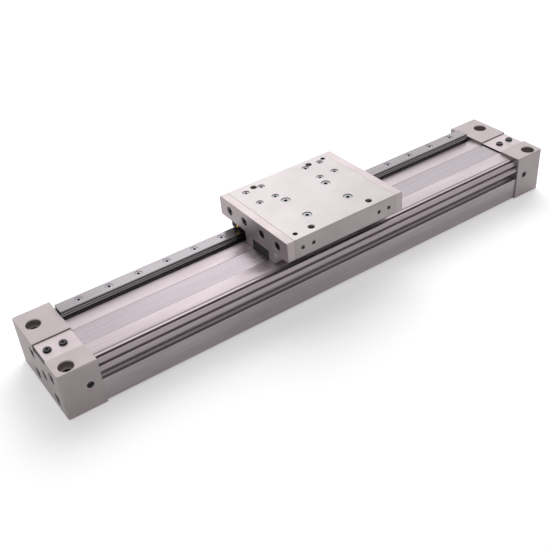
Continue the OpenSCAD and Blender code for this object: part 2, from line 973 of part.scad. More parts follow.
// Strip pocket in the outer face of the skirt
module scraper_space(gap) {
    box([table_half + end_cover_t - scraper_t + gap, bore_y - band_w / 2 - 1 + gap, skirt_z - 0.2],
        [table_half + end_cover_t + (gap > 0 ? 0 : 1), bore_y + band_w / 2 + 1 - gap, table_z - 2.5 - gap]);
}

module table_cover_left() {
    on_table(-1)
        table_cover();
}

module table_cover_right() {
    on_table(1)
        table_cover();
}

module table_cover_screws() {
    color(dark_steel)
        on_both_table_ends()
            at_cover_holes()
                translate([table_half + end_cover_t - cover_head_sink, 0, 0])
                    rotate([0, 90, 0])
                        socket_screw(m4, end_screw_l, end_head_d, m4, 3);
}

module scrapers() {
    color(black_rubber)
        on_both_table_ends()
            scraper_space(0.1);
}

module roller_pins() {
    color(steel)
        on_both_table_ends()
            rod_y(roller_x, bore_y - roller_pin_l / 2 + 0.2, bore_y + roller_pin_l / 2 - 0.2,
                  roller_z, roller_pin_d);
}

module band_roller() {
    color(white_resin)
        difference() {
            rod_y(roller_x, bore_y - roller_w / 2, bore_y + roller_w / 2, roller_z, roller_d);
            rod_y(roller_x, bore_y - roller_w, bore_y + roller_w, roller_z, roller_pin_d + 2 * seal_gap);
        }
}

module band_roller_left() {
    on_table(-1)
        band_roller();
}

module band_roller_right() {
    on_table(1)
        band_roller();
}

module yoke_screws() {
    color(steel)
        translate([table_x, 0, 0])
            at_yoke_screws()
                translate([0, 0, table_top - yoke_screw_sink])
                    socket_screw(m4, table_t - yoke_screw_sink + yoke_thread_l, yoke_screw_head_d, m4, 3);
}

module block_screws() {
    color(steel)
        on_both_table_ends()
            at_block_screws()
                translate([0, 0, table_top - block_screw_sink])
                    socket_screw(m3, block_screw_l, block_screw_head_d, m3, 2.5);
}

// ---- piston --------------------------------------------------------------

// Saddle in the bore, neck through the slot and flange under the table
module piston_yoke() {
    color(alu_grey)
        translate([table_x, 0, 0])
            difference() {
                union() {
                    intersection() {
                        rod_x(-yoke_half, yoke_half, bore_y, bore_z, 2 * bore_r - 1);
                        box([-yoke_half, bore_y - 20, 0], [yoke_half, bore_y + 20, piston_flat_z - 0.5]);
                    }
                    box([-yoke_half, bore_y - neck_w / 2, bore_z],
                        [yoke_half, bore_y + neck_w / 2, yoke_flange_z + 1]);
                    box([-yoke_half, bore_y - yoke_flange_w / 2, yoke_flange_z],
                        [yoke_half, bore_y + yoke_flange_w / 2, table_z]);
                    box([-yoke_half - tongue_l, bore_y - tongue_w / 2, tongue_z + 0.1],
                        [yoke_half + tongue_l, bore_y + tongue_w / 2, tongue_z + tongue_h - 0.1]);
                }
                box([-yoke_half - 1, bore_y - channel_w / 2, band_up_z - 0.2],
                    [yoke_half + 1, bore_y + channel_w / 2, table_z + 1]);
                box([-yoke_half - 1, bore_y - belt_w / 2 - 0.5, belt_low_z - 0.8],
                    [yoke_half + 1, bore_y + belt_w / 2 + 0.5, belt_low_z + belt_t + 0.8]);
                at_yoke_screws()
                    rod_z(0, 0, table_z - yoke_thread_l - 1, table_z + 1, m4 + fit_gap);
                for (s = [-1, 1])
                    rod_y(s * pin_x, bore_y - 20, bore_y + 20, tongue_z + tongue_h / 2, pin_d + fit_gap);
            }
}

// Everything that runs in the bore is flat on top, below the seal belt
module under_belt() {
    intersection() {
        children();
        box([-tube_half, bore_y - bore_r, 0], [tube_half, bore_y + bore_r, piston_flat_z]);
    }
}

module piston() {
    color(alu_clear)
        under_belt()
            difference() {
                rod_x(piston_in, piston_half, bore_y, bore_z, 2 * piston_r);
                piston_grooves();
                // sloping channel that lets the belt down to the yoke
                along_y(bore_y - belt_w / 2 - 0.5, bore_y + belt_w / 2 + 0.5)
                    polygon([
                        [piston_in - 1, belt_low_z - 1],
                        [piston_in + 1, belt_low_z - 0.8],
                        [dip_out + 1, piston_flat_z],
                        [dip_out + 1, bore_z + bore_r + 1],
                        [piston_in - 1, bore_z + bore_r + 1]
                    ]);
                box([piston_in - 1, bore_y - tongue_w / 2 - 0.1, tongue_z],
                    [yoke_half + tongue_l + 0.2, bore_y + tongue_w / 2 + 0.1, tongue_z + tongue_h]);
                rod_y(pin_x, bore_y - 20, bore_y + 20, tongue_z + tongue_h / 2, pin_d + fit_gap);
                rod_x(piston_half - cushion_hole_l, piston_half + 1, bore_y, bore_z, 2 * cushion_hole_r);
            }
}

module piston_grooves() {
    ring_x(wear_x, wear_x + wear_w, bore_y, bore_z, bore_r + 1, ring_core_r + 1.2);
    ring_x(magnet_x, magnet_x + magnet_w, bore_y, bore_z, bore_r + 1, ring_core_r);
    ring_x(seal_x, seal_x + seal_w, bore_y, bore_z, bore_r + 1, ring_core_r);
    ring_x(cushion_seal_x, cushion_seal_x + cushion_seal_w, bore_y, bore_z, cushion_hole_r + 1.3, 1);
}

module piston_left() {
    on_table(-1)
        piston();
}

module piston_right() {
    on_table(1)
        piston();
}

module piston_pins() {
    color(steel)
        on_both_table_ends()
            rod_y(pin_x, bore_y - pin_l / 2, bore_y + pin_l / 2, tongue_z + tongue_h / 2, pin_d);
}

// Cup seal with a lip on its outer side
module piston_seals() {
    lip_r = bore_r - seal_gap;
    color(black_rubber)
        on_both_table_ends()
            under_belt()
                translate([seal_x + 0.1, bore_y, bore_z])
                    rotate([0, 90, 0])
                        rotate_extrude()
                            polygon([
                                [ring_core_r + 0.05, 0], [lip_r - 0.9, 0], [lip_r, seal_w - 1.2],
                                [lip_r, seal_w - 0.2], [lip_r - 0.7, seal_w - 0.2],
                                [ring_core_r + 1, seal_w - 1.8], [ring_core_r + 0.6, seal_w - 0.2],
                                [ring_core_r + 0.05, seal_w - 0.2]
                            ]);
}

module cushion_seals() {
    color(black_rubber)
        on_both_table_ends()
            ring_x(cushion_seal_x + 0.1, cushion_seal_x + cushion_seal_w - 0.1, bore_y, bore_z,
                   cushion_hole_r + 1.2, boss_d / 2 + 0.2);
}

module wear_rings() {
    color(white_resin)
        on_both_table_ends()
            under_belt()
                ring_x(wear_x + 0.1, wear_x + wear_w - 0.1, bore_y, bore_z,
                       bore_r - seal_gap, ring_core_r + 1.25);
}

module piston_magnets() {
    color(dark_steel)
        on_both_table_ends()
            under_belt()
                ring_x(magnet_x + 0.05, magnet_x + magnet_w - 0.05, bore_y, bore_z,
                       piston_r - 0.2, ring_core_r + 0.05);
}

// Ramp under the dust band with a tongue in the slot that presses the belt down
module belt_separators() {
    half = channel_w / 2;
    ear = 3;
    out = skirt_in - slip;
    in = yoke_half + slip;
    under_band = 0.25;
    slope = (band_up_z - band_z) / (lift_out - lift_in);
    tip = lift_out - (yoke_flange_z + 0.1 + under_band - band_z) / slope;
    color(black_resin)
        on_both_table_ends() {
            along_y(bore_y - half - ear, bore_y + half + ear)
                polygon([
                    [in, yoke_flange_z], [tip, yoke_flange_z], [tip, yoke_flange_z + 0.1],
                    [lift_in, band_up_z - under_band], [in, band_up_z - under_band]
                ]);
            for (s = [-1, 1])
                box([in, bore_y + s * (half + ear / 2) - ear / 2, yoke_flange_z],
                    [out, bore_y + s * (half + ear / 2) + ear / 2, table_z]);
            along_y(bore_y - neck_w / 2, bore_y + neck_w / 2)
                polygon([
                    [in, belt_low_z + belt_t + 0.8], [in + 1, belt_low_z + belt_t + 0.8],
                    [out, belt_seat_z + 0.2], [out, belt_seat_z + 2],
                    [tip, yoke_flange_z + 0.1], [in, yoke_flange_z + 0.1]
                ]);
        }
}

cylinder_tube();
head_cover_left();
head_cover_right();
head_cover_screws();
cover_gaskets();
cushion_bosses();
stop_bumpers();
dust_band();
seal_belt();
belt_seats();
band_clamps();
clamp_screws();
band_magnets();
guide_rail();
rail_screws();
port_plugs();
cushion_needle_left();
cushion_needle_right();
slide_table();
table_cover_left();
table_cover_right();
table_cover_screws();
scrapers();
piston_yoke();
yoke_screws();
piston_left();
piston_right();
piston_pins();
piston_seals();
cushion_seals();
wear_rings();
piston_magnets();
belt_separators();
guide_block_left();
guide_block_right();
block_end_plates();
block_seals();
guide_balls();
block_screws();
grease_nipples();
roller_pins();
band_roller_left();
band_roller_right();
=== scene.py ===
# %% [markdown]
# # A rodless air cylinder, dressed for the camera
# A rodless cylinder has no piston rod. The piston drives the slide table straight through
# a slot along the tube, and two bands keep that slot shut. The frame holds its solids at
# their real size. This lesson gives each one the finish of the real piece, breaks the
# machined edges, cuts both bands in two at the table, cuts the threads and knurls the heads.

# %% Load the frame
import bmesh
import bpy
import json
import math
from mathutils import Matrix, Vector


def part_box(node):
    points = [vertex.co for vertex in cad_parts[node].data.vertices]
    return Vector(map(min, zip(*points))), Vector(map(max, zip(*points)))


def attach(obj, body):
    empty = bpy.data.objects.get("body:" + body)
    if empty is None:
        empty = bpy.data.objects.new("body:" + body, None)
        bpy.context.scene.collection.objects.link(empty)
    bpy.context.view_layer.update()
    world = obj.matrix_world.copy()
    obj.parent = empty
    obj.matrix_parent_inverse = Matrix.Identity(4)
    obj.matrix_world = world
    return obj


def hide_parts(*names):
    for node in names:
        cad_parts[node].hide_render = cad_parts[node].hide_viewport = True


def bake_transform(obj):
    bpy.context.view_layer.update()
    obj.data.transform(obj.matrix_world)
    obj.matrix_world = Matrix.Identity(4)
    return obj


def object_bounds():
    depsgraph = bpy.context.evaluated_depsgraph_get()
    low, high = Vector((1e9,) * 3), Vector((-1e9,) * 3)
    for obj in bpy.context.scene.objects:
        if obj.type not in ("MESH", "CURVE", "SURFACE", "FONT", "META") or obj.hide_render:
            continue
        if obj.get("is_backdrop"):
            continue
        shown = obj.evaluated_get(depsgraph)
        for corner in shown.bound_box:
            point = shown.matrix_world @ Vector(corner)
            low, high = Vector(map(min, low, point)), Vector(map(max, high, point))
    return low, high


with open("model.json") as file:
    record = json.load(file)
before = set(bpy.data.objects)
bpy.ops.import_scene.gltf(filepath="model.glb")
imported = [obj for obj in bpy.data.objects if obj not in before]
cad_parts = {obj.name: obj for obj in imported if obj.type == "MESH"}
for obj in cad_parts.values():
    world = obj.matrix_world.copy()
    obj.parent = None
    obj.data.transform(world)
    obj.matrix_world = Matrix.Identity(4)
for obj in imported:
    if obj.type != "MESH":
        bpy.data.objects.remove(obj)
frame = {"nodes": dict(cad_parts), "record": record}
record = frame["record"]
solids = frame["nodes"]
cad_low, cad_high = (list(corner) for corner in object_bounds())
mm = 0.001
print("solids:", len(solids), "size in mm:",
      [round((high - low) / mm, 1) for low, high in zip(cad_low, cad_high)])

# %% [markdown]
# Places come from the solids themselves and from their mounts in model.json, so a changed
# cylinder is dressed in the same way. The table gives the middle of the carriage and the
# tube its own two ends, where the head covers begin.

# %% Places on the cylinder
mounts = {mount["name"]: mount for mount in record["mounts"]}
tube_low, tube_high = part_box("cylinder_tube")
table_low, table_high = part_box("slide_table")
table_x = (table_low.x + table_high.x) / 2


def pattern_places(mount):
    """Mouths of a bolt pattern; the spacings run along X and along Y."""
    centre = Vector(mount["pos_m"])
    half_x = mount["dims"]["spacing_x_mm"] * mm / 2
    half_y = mount["dims"].get("spacing_y_mm", 0) * mm / 2
    across = (-half_y, half_y) if half_y else (0,)
    return [centre + Vector((x, y, 0)) for x in (-half_x, half_x) for y in across]


base_holes = pattern_places(mounts["base_holes"])

# %% [markdown]
# ## Helpers for a finish
# A finish is a small graph of nodes. One function turns a colour code into the linear
# colour that a shader wants. Another adds a node of any kind with its settings and links.

# %% One function for a colour, one for a node
def colour(hex_code):
    """sRGB hex to the linear colour that a shader wants."""
    parts = [int(hex_code[i:i + 2], 16) / 255 for i in (0, 2, 4)]
    return [p / 12.92 if p <= 0.04045 else ((p + 0.055) / 1.055) ** 2.4 for p in parts] + [1.0]


def add_node(tree, kind, settings=None, **inputs):
    """Adds a node. An input is a value or another node's output.

    Where a node has several inputs of one name, _0 stands for input number 0.
    """
    made = tree.nodes.new(kind)
    for name, value in (settings or {}).items():
        setattr(made, name, value)
    for name, value in inputs.items():
        socket = made.inputs[int(name[1:]) if name[0] == "_" else name.replace("_", " ")]
        if isinstance(value, bpy.types.NodeSocket):
            tree.links.new(value, socket)
        else:
            socket.default_value = value
    return made


print("middle grey as linear light:", round(colour("808080")[0], 3))

# %% [markdown]
# ## One graph for every finish
# What tells one metal from the next is how its surface was made: pressed through a die,
# blasted with beads, ground or rolled. So every finish is built from two noises, a fine
# grain with the size and direction of the tool's marks and a slow mottle. The grain
# moves the roughness and a very shallow relief, and both shift the tone a little.

# %% A finish with a grain
noise_low, noise_high = 0.3, 0.7
noise_detail, noise_roughness = 3.0, 0.6
grain_share = 0.6
relief_strength = 0.6


def grained(name, light, dark, grain_mm, mottle_mm, rough, relief_mm, metallic=1.0):
    """Cells of the grain and of the mottle have these sizes along X, Y and Z."""
    made = bpy.data.materials.new(name)
    made.use_nodes = True
    tree = made.node_tree
    tree.nodes.clear()
    where = add_node(tree, "ShaderNodeTexCoord").outputs["Object"]
    noises = []
    for cell_mm in (grain_mm, mottle_mm):
        cells = add_node(tree, "ShaderNodeMapping", Vector=where,
                         Scale=[1 / (size * mm) for size in cell_mm])
        noise = add_node(tree, "ShaderNodeTexNoise", Vector=cells.outputs["Vector"],
                         Scale=1.0, Detail=noise_detail, Roughness=noise_roughness)
        noises.append(noise.outputs["Fac"])
    grain, mottle = noises
    both = add_node(tree, "ShaderNodeMix", {"data_type": "FLOAT"},
                    _0=1 - grain_share, _2=grain, _3=mottle)
    spread = add_node(tree, "ShaderNodeMapRange", Value=both.outputs[0],
                      From_Min=noise_low, From_Max=noise_high)
    tone = add_node(tree, "ShaderNodeMix", {"data_type": "RGBA"},
                    _0=spread.outputs["Result"], _6=colour(dark), _7=colour(light))
    gloss = add_node(tree, "ShaderNodeMapRange", Value=grain, From_Min=noise_low,
                     From_Max=noise_high, To_Min=rough[0], To_Max=rough[1])
    relief = add_node(tree, "ShaderNodeBump", Strength=relief_strength,
                      Distance=relief_mm * mm, Height=grain)
    surface = add_node(tree, "ShaderNodeBsdfPrincipled", Base_Color=tone.outputs[2],
                       Metallic=metallic, Roughness=gloss.outputs["Result"],
                       Normal=relief.outputs["Normal"])
    add_node(tree, "ShaderNodeOutputMaterial", Surface=surface.outputs["BSDF"])
    return made

# %% [markdown]
# ## The finishes of this cylinder
# Each is named for the real one, and its comment says what it gives the eye. The grain
# is drawn at the size of the real marks, or coarser where the comment says so. The
# thread's finish is darkened as painted shade. Anodised pieces scatter a little light in
# their oxide, so they aren't wholly metallic. Each line gives the light and dark tone, the
# cells of grain and mottle, the least and greatest roughness, the depth of the relief and,
# where it isn't bare metal, the metallic share.

# %% Metals, rubber and resin
oxide = 0.85
finishes = {
    # fine die lines along X draw out the length of the tube; they are drawn at 0.7 mm to show
    "clear_anodised": grained("extruded_anodised_aluminium", "ABA2A4", "90868A",
                              (140, 0.7, 0.7), (60, 9, 9), (0.30, 0.46), 0.010, oxide),
    # an even, dull sheen without direction; the bead marks are drawn at 0.7 mm to show
    "cover_anodised": grained("bead_blasted_anodised_aluminium", "A49B9C", "908788",
                              (0.7, 0.7, 0.7), (16, 16, 16), (0.42, 0.56), 0.020, oxide),
    # straight grinding marks across the table, drawn at 0.8 mm, make its top the brightest
    "table_anodised": grained("ground_anodised_aluminium", "A49E9E", "908A8B",
                              (0.8, 50, 0.8), (24, 24, 24), (0.30, 0.44), 0.010, oxide),
    # a lighter, even grey that sets the end covers and clamps off from what they hold
    "cover_grey": grained("grey_anodised_aluminium", "B3A9AB", "9B9193",
                          (0.7, 0.7, 0.7), (16, 16, 16), (0.40, 0.52), 0.015, oxide),
    # rings from the lathe and bare metal, seen only inside
    "piston_aluminium": grained("turned_aluminium", "CFCCCC", "B3B0B1",
                                (0.4, 30, 30), (16, 16, 16), (0.25, 0.40), 0.012),
    # long rolling lines in a darker, smoother strip; they are drawn at 1 mm to show
    "stainless_band": grained("rolled_stainless_strip", "8D868A", "7A7377",
                              (200, 1.0, 1.0), (80, 6, 6), (0.22, 0.36), 0.004),
    # the smoothest metal, almost a mirror, so its flanks go dark; faint lines along the rail
    "ground_steel": grained("ground_bearing_steel", "7F7B7D", "6D6A6D",
                            (90, 0.8, 0.8), (40, 8, 8), (0.18, 0.30), 0.003),
    # near black with a soft metal glint at the socket edges
    "black_screw": grained("black_oxide_steel", "454247", "29272B",
                           (0.4, 0.4, 0.4), (3, 3, 3), (0.32, 0.50), 0.008),
    # bluish heads, as bright as the rail and the table's top, so they nearly vanish there
    "plated_screw": grained("zinc_plated_steel", "868588", "727175",
                            (0.4, 0.4, 0.4), (3, 3, 3), (0.22, 0.38), 0.006),
    # dull, and darker as painted shade, because little light reaches the crests of a thread
    "thread_painted_shade": grained("tapped_aluminium_painted_shade", "7C7577", "5E585A",
                             (0.4, 0.4, 0.4), (3, 3, 3), (0.45, 0.60), 0.006),
    # small warm points of yellow on the grease nipples
    "brass": grained("turned_brass", "D6B36A", "B48D48",
                     (0.3, 0.3, 0.3), (3, 3, 3), (0.24, 0.36), 0.006),
    # the darkest surface, without any sheen
    "black_rubber": grained("moulded_nitrile_rubber", "29272A", "171618",
                            (0.5, 0.5, 0.5), (0.5, 0.5, 0.5), (0.65, 0.85), 0.020, 0.0),
    # black as well, with the weak broad highlight of a mould
    "black_resin": grained("moulded_glass_filled_resin", "343236", "1E1D20",
                           (0.6, 0.6, 0.6), (0.6, 0.6, 0.6), (0.42, 0.60), 0.015, 0.0),
    # milky white, for the wear rings and band rollers
    "white_resin": grained("turned_acetal_resin", "E8E5DC", "D2CFC6",
                           (0.8, 0.8, 0.8), (0.8, 0.8, 0.8), (0.35, 0.50), 0.010, 0.0),
}
print("finishes:", len(finishes))

# %% Every solid takes the finish of its slot
slot_of = {part["node"]: part["material_slot"] for part in record["subparts"]}


def dress(piece, slot_name, finish_name=None):
    """The finish is the one of the slot, unless another is named."""
    piece.data.materials.clear()
    piece.data.materials.append(finishes[finish_name or slot_name])


for name, solid in solids.items():
    dress(solid, slot_of[name])
print("solids dressed:", len(solids), "in slots:", len(set(slot_of.values())))

# %% [markdown]
# ## Broken edges
# No machined edge stays a perfect corner: a file or a chamfer tool breaks it, and the
# light catches there. A copy of the solid has its triangles merged and its flat faces
# joined again. Then its outer edges are cut back by a few tenths of a millimetre. Inner
# corners stay sharp, as a cutter leaves them.

# %% Copy a solid with whole faces
merge_gap = 0.001 * mm
flat_angle = math.radians(0.5)


def merged_copy(name):
    """The solid's faces as a bmesh, without doubles and with whole flat faces."""
    shape = bmesh.new()
    shape.from_mesh(solids[name].data)
    bmesh.ops.remove_doubles(shape, verts=shape.verts, dist=merge_gap)
    bmesh.ops.dissolve_limit(shape, angle_limit=flat_angle, verts=shape.verts, edges=shape.edges)
    return shape


table_copy = merged_copy("slide_table")
print("table:", len(solids["slide_table"].data.polygons), "triangles become",
      len(table_copy.faces), "faces")
table_copy.free()

# %% [markdown]
# Smooth shading blends the directions of neighbouring faces. That makes a bore round,
# but it would also draw a soft wedge over a large flat face with holes, because the
# slant at each mouth spreads over the whole face. So the edges of such a face stay sharp.
# The strips of a rounding have only four corners each, and they stay smooth.

# %% Turn a shape into a piece
smooth_angle = math.radians(20)
flat_area = 100 * mm ** 2
strip_corners = 4


def shape_to_piece(shape, name, slot_name):
    """An object that is shaded smooth, but not over sharp edges or out of large flat faces."""
    flat_faces = {face for face in shape.faces
                  if len(face.verts) > strip_corners and face.calc_area() > flat_area}
    for face in shape.faces:
        face.smooth = True
    for edge in shape.edges:
        edge.smooth = (len(edge.link_faces) == 2 and edge.calc_face_angle(0.0) < smooth_angle
                       and flat_faces.isdisjoint(edge.link_faces))
    mesh = bpy.data.meshes.new(name)
    shape.to_mesh(mesh)
    shape.free()
    piece = bpy.data.objects.new(name, mesh)
    bpy.context.scene.collection.objects.link(piece)
    dress(piece, slot_name)
    return piece

# %% [markdown]
# The cutter that sinks a base hole also leaves a wider bevel round its mouth. Between the
# screw holes of the table there is little room, so its edges are broken less than those
# of the covers. The tube comes from its die with corners that are almost sharp.

# %% Break the edges of what was machined
body_of = {node: body for body, nodes in record["behaviour"]["bodies"].items() for node in nodes}
edge_angle = math.radians(35)
rim_reach = 8 * mm
rim_width_mm = 0.8
edge_widths_mm = {"head_cover_left": 0.3, "head_cover_right": 0.3, "slide_table": 0.15,
                  "table_cover_left": 0.3, "table_cover_right": 0.3, "cylinder_tube": 0.12,
                  "band_clamps": 0.2, "guide_rail": 0.15, "guide_block_left": 0.2,
                  "guide_block_right": 0.2}


def on_rim(edge, top):
    """True for an edge round the mouth of a base hole in a solid's top."""
    middle = (edge.verts[0].co + edge.verts[1].co) / 2
    near_hole = any((middle - hole).xy.length < rim_reach for hole in base_holes)
    return near_hole and abs(middle.z - top) < merge_gap


def break_edges(name, width_mm):
    shape = merged_copy(name)
    sharp = [edge for edge in shape.edges if len(edge.link_faces) == 2 and edge.is_convex
             and edge.calc_face_angle(0.0) > edge_angle]
    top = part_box(name)[1].z
    rims = [edge for edge in sharp if on_rim(edge, top)]
    plain = [edge for edge in sharp if not on_rim(edge, top)]
    for edges, width in ((plain, width_mm), (rims, rim_width_mm)):
        bmesh.ops.bevel(shape, geom=edges, offset=width * mm, offset_type="OFFSET", segments=2,
                        profile=0.5, affect="EDGES", clamp_overlap=False)
    piece = shape_to_piece(shape, name + "_finished", slot_of[name])
    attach(piece, body_of[name])
    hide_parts(name)
    print(name, "edges broken:", len(sharp), "faces:", len(piece.data.polygons))


for name, width in edge_widths_mm.items():
    break_edges(name, width)

# %% [markdown]
# ## Bands cut at the table
# The steel band rises over the yoke and the rubber belt dips below its neck. A copy of
# each band is cut in two at the middle of the table, and each half gets an edge where the
# tube ends. The flat stretch between has no edges across it.


def band_half(name, word, side, tube_end):
    """One half of a band, from its clamped end to the middle of the table."""
    shape = merged_copy(name)
    # the first cut drops the other half, the second adds an edge where the tube ends
    for cut_x, drops in ((table_x, True), (tube_end, False)):
        bmesh.ops.bisect_plane(shape, geom=[*shape.verts, *shape.edges, *shape.faces],
                               dist=merge_gap, plane_co=(cut_x, 0, 0), plane_no=(-side, 0, 0),
                               clear_outer=drops)
    half = shape_to_piece(shape, f"{name}_{word}_half", slot_of[name])
    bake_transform(half)
    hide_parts(name)


for name in ("dust_band", "seal_belt"):
    band_half(name, "left", -1, tube_low.x)
    band_half(name, "right", 1, tube_high.x)

# %% [markdown]
# ## Threads
# A tapped hole shows the crests of its thread as fine rings. Geometry Nodes draw one
# thread as a spiral with a small profile swept along it, and set a copy at every mouth.
# The solids keep plain holes of the core diameter, so the crests stand just inside them.

# %% Helpers for a tree that sets copies at places
def new_tree(name, sizes):
    """A tree with places and a finish as inputs, and each size under a name of its own."""
    tree = bpy.data.node_groups.new(name, "GeometryNodeTree")
    tree.interface.new_socket(name="Places", in_out="INPUT", socket_type="NodeSocketGeometry")
    tree.interface.new_socket(name="Pieces", in_out="OUTPUT", socket_type="NodeSocketGeometry")
    tree.interface.new_socket(name="Finish", in_out="INPUT", socket_type="NodeSocketMaterial")
    for size_name, (kind, usual) in sizes.items():
        socket = tree.interface.new_socket(name=size_name, in_out="INPUT", socket_type=kind)
        socket.default_value = usual
    return tree, add_node(tree, "NodeGroupInput")


def close_tree(tree, given, geometry):
    """Ends a tree: real faces instead of instances, then the finish."""
    real = add_node(tree, "GeometryNodeRealizeInstances", Geometry=geometry)
    coated = add_node(tree, "GeometryNodeSetMaterial", Geometry=real.outputs["Geometry"],
                      Material=given.outputs["Finish"])
    tree.links.new(coated.outputs["Geometry"], add_node(tree, "NodeGroupOutput").inputs["Pieces"])


def grow(tree, sizes, places, name, body, slot_name, finish_name):
    """Runs a tree on a set of places and keeps the result as a plain mesh on one body."""
    seeds = bpy.data.meshes.new(name + "_places")
    seeds.from_pydata(places, [], [])
    holder = bpy.data.objects.new(name + "_places", seeds)
    bpy.context.scene.collection.objects.link(holder)
    work = holder.modifiers.new("grow", "NODES")
    work.node_group = tree
    values = {**sizes, "Finish": finishes[finish_name]}
    for item in tree.interface.items_tree:
        if item.in_out == "INPUT" and item.name in values:
            work[item.identifier] = values[item.name]
    ready = holder.evaluated_get(bpy.context.evaluated_depsgraph_get())
    mesh = bpy.data.meshes.new_from_object(ready)
    holder.modifiers.remove(work)
    bpy.data.objects.remove(holder)
    mesh.name = name
    piece = bpy.data.objects.new(name, mesh)
    bpy.context.scene.collection.objects.link(piece)
    dress(piece, slot_name, finish_name)
    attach(piece, body)
    print(name, "faces:", len(mesh.polygons))

# %% [markdown]
# One turn of the spiral for each pitch gives a thread. A round profile of six corners is
# enough, because only the inner side of each crest is seen.

# %% A tree that draws a thread at every place
crest_share = 0.3
thread_tree, given = new_tree("thread_in_holes", {
    "Core radius": ("NodeSocketFloat", 2.5 * mm), "Pitch": ("NodeSocketFloat", 1.0 * mm),
    "Depth": ("NodeSocketFloat", 10 * mm), "Turn": ("NodeSocketVector", (0, 0, 0))})
turns = add_node(thread_tree, "ShaderNodeMath", {"operation": "DIVIDE"},
                 _0=given.outputs["Depth"], _1=given.outputs["Pitch"])
crest = add_node(thread_tree, "ShaderNodeMath", {"operation": "MULTIPLY"},
                 _0=given.outputs["Pitch"], _1=crest_share)
core = given.outputs["Core radius"]
spiral = add_node(thread_tree, "GeometryNodeCurveSpiral", Resolution=32, Start_Radius=core,
                  End_Radius=core, Rotations=turns.outputs[0], Height=given.outputs["Depth"])
profile = add_node(thread_tree, "GeometryNodeCurvePrimitiveCircle", Resolution=6,
                   Radius=crest.outputs[0])
swept = add_node(thread_tree, "GeometryNodeCurveToMesh", Curve=spiral.outputs["Curve"],
                 Profile_Curve=profile.outputs["Curve"], Fill_Caps=True)
copies = add_node(thread_tree, "GeometryNodeInstanceOnPoints", Points=given.outputs["Places"],
                  Instance=swept.outputs["Mesh"], Rotation=given.outputs["Turn"])
close_tree(thread_tree, given, copies.outputs["Instances"])
print("nodes in the thread's tree:", len(thread_tree.nodes))

# %% Cut the threads
def cut_threads(name, places, axis, radius_mm, pitch_mm, depth_mm, body, slot_name):
    """A spiral climbs along its own Z, from deep in the hole to one pitch below its mouth."""
    out = Vector(axis)
    sizes = {"Core radius": radius_mm * mm, "Pitch": pitch_mm * mm, "Depth": depth_mm * mm,
             "Turn": out.to_track_quat("Z", "X").to_euler()}
    bottoms = [place - out * (depth_mm + pitch_mm) * mm for place in places]
    # the crests take the finish that is darkened with painted shade
    grow(thread_tree, sizes, bottoms, name, body, slot_name, "thread_painted_shade")


load_holes = mounts["load_holes"]
cut_threads("load_hole_threads", pattern_places(load_holes), (0, 0, 1),
            load_holes["dims"]["hole_r_mm"], pitch_mm=1.0, depth_mm=10, body="carriage",
            slot_name="table_anodised")
for side, end_x in (("left", cad_low[0]), ("right", cad_high[0])):
    bracket = mounts["bracket_holes_" + side]
    cut_threads(f"bracket_hole_threads_{side}", pattern_places(bracket), bracket["axis"],
                bracket["dims"]["hole_r_mm"], pitch_mm=0.7, depth_mm=6, body="carriage",
                slot_name="table_anodised")
    port = mounts["air_port_" + side]
    mouth = Vector((end_x, *port["pos_m"][1:]))
    cut_threads(f"air_port_threads_{side}", [mouth], port["axis"], port["dims"]["r_mm"],
                pitch_mm=0.9, depth_mm=7.2, body="barrel", slot_name="cover_anodised")

# %% [markdown]
# ## Knurled heads
# The round head of a socket screw is knurled, so that fingers can start it. The four
# screws of the band clamps stand proud and show it. Their heads are found as the
# separate shells of one solid, and a ring of small ridges goes round each of them.

# %% Find the separate shells of a solid
def loose_parts(name):
    """Lowest and highest corner of each separate shell of a solid."""
    shape = merged_copy(name)
    left, boxes = set(shape.verts), []
    while left:
        shell, border = set(), [left.pop()]
        while border:
            vert = border.pop()
            shell.add(vert)
            near = {edge.other_vert(vert) for edge in vert.link_edges} & left
            left -= near
            border.extend(near)
        axes = list(zip(*(vert.co for vert in shell)))
        boxes.append((Vector([min(axis) for axis in axes]), Vector([max(axis) for axis in axes])))
    shape.free()
    return boxes


heads = loose_parts("clamp_screws")
head_radius = (heads[0][1].x - heads[0][0].x) / 2
print("heads:", len(heads), "of radius", round(head_radius / mm, 2), "mm")

# %% A tree that sets a ring of ridges at every place
ridge_radius = 0.22 * mm
knurl_tree, given = new_tree("knurl_round_heads", {
    "Head radius": ("NodeSocketFloat", 2.8 * mm), "Height": ("NodeSocketFloat", 1.2 * mm),
    "Ridges": ("NodeSocketInt", 32)})
rim = add_node(knurl_tree, "GeometryNodeMeshCircle", Vertices=given.outputs["Ridges"],
               Radius=given.outputs["Head radius"])
ridge = add_node(knurl_tree, "GeometryNodeMeshCylinder", Vertices=5, Radius=ridge_radius,
                 Depth=given.outputs["Height"])
ridges = add_node(knurl_tree, "GeometryNodeInstanceOnPoints", Points=rim.outputs["Mesh"],
                  Instance=ridge.outputs["Mesh"])
copies = add_node(knurl_tree, "GeometryNodeInstanceOnPoints", Points=given.outputs["Places"],
                  Instance=ridges.outputs["Instances"])
close_tree(knurl_tree, given, copies.outputs["Instances"])
print("nodes in the knurl's tree:", len(knurl_tree.nodes))

# %% Knurl the heads where they stand proud of the clamps
clamp_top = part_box("band_clamps")[1].z
knurl_share = 0.8
knurl_height = (heads[0][1].z - clamp_top) * knurl_share
knurl_foot = 0.05 * mm
knurl_z = clamp_top + knurl_foot + knurl_height / 2
knurl_places = [((low.x + high.x) / 2, (low.y + high.y) / 2, knurl_z) for low, high in heads]
grow(knurl_tree, {"Head radius": head_radius, "Height": knurl_height}, knurl_places,
     "clamp_screw_knurls", "barrel", "black_screw", "black_screw")

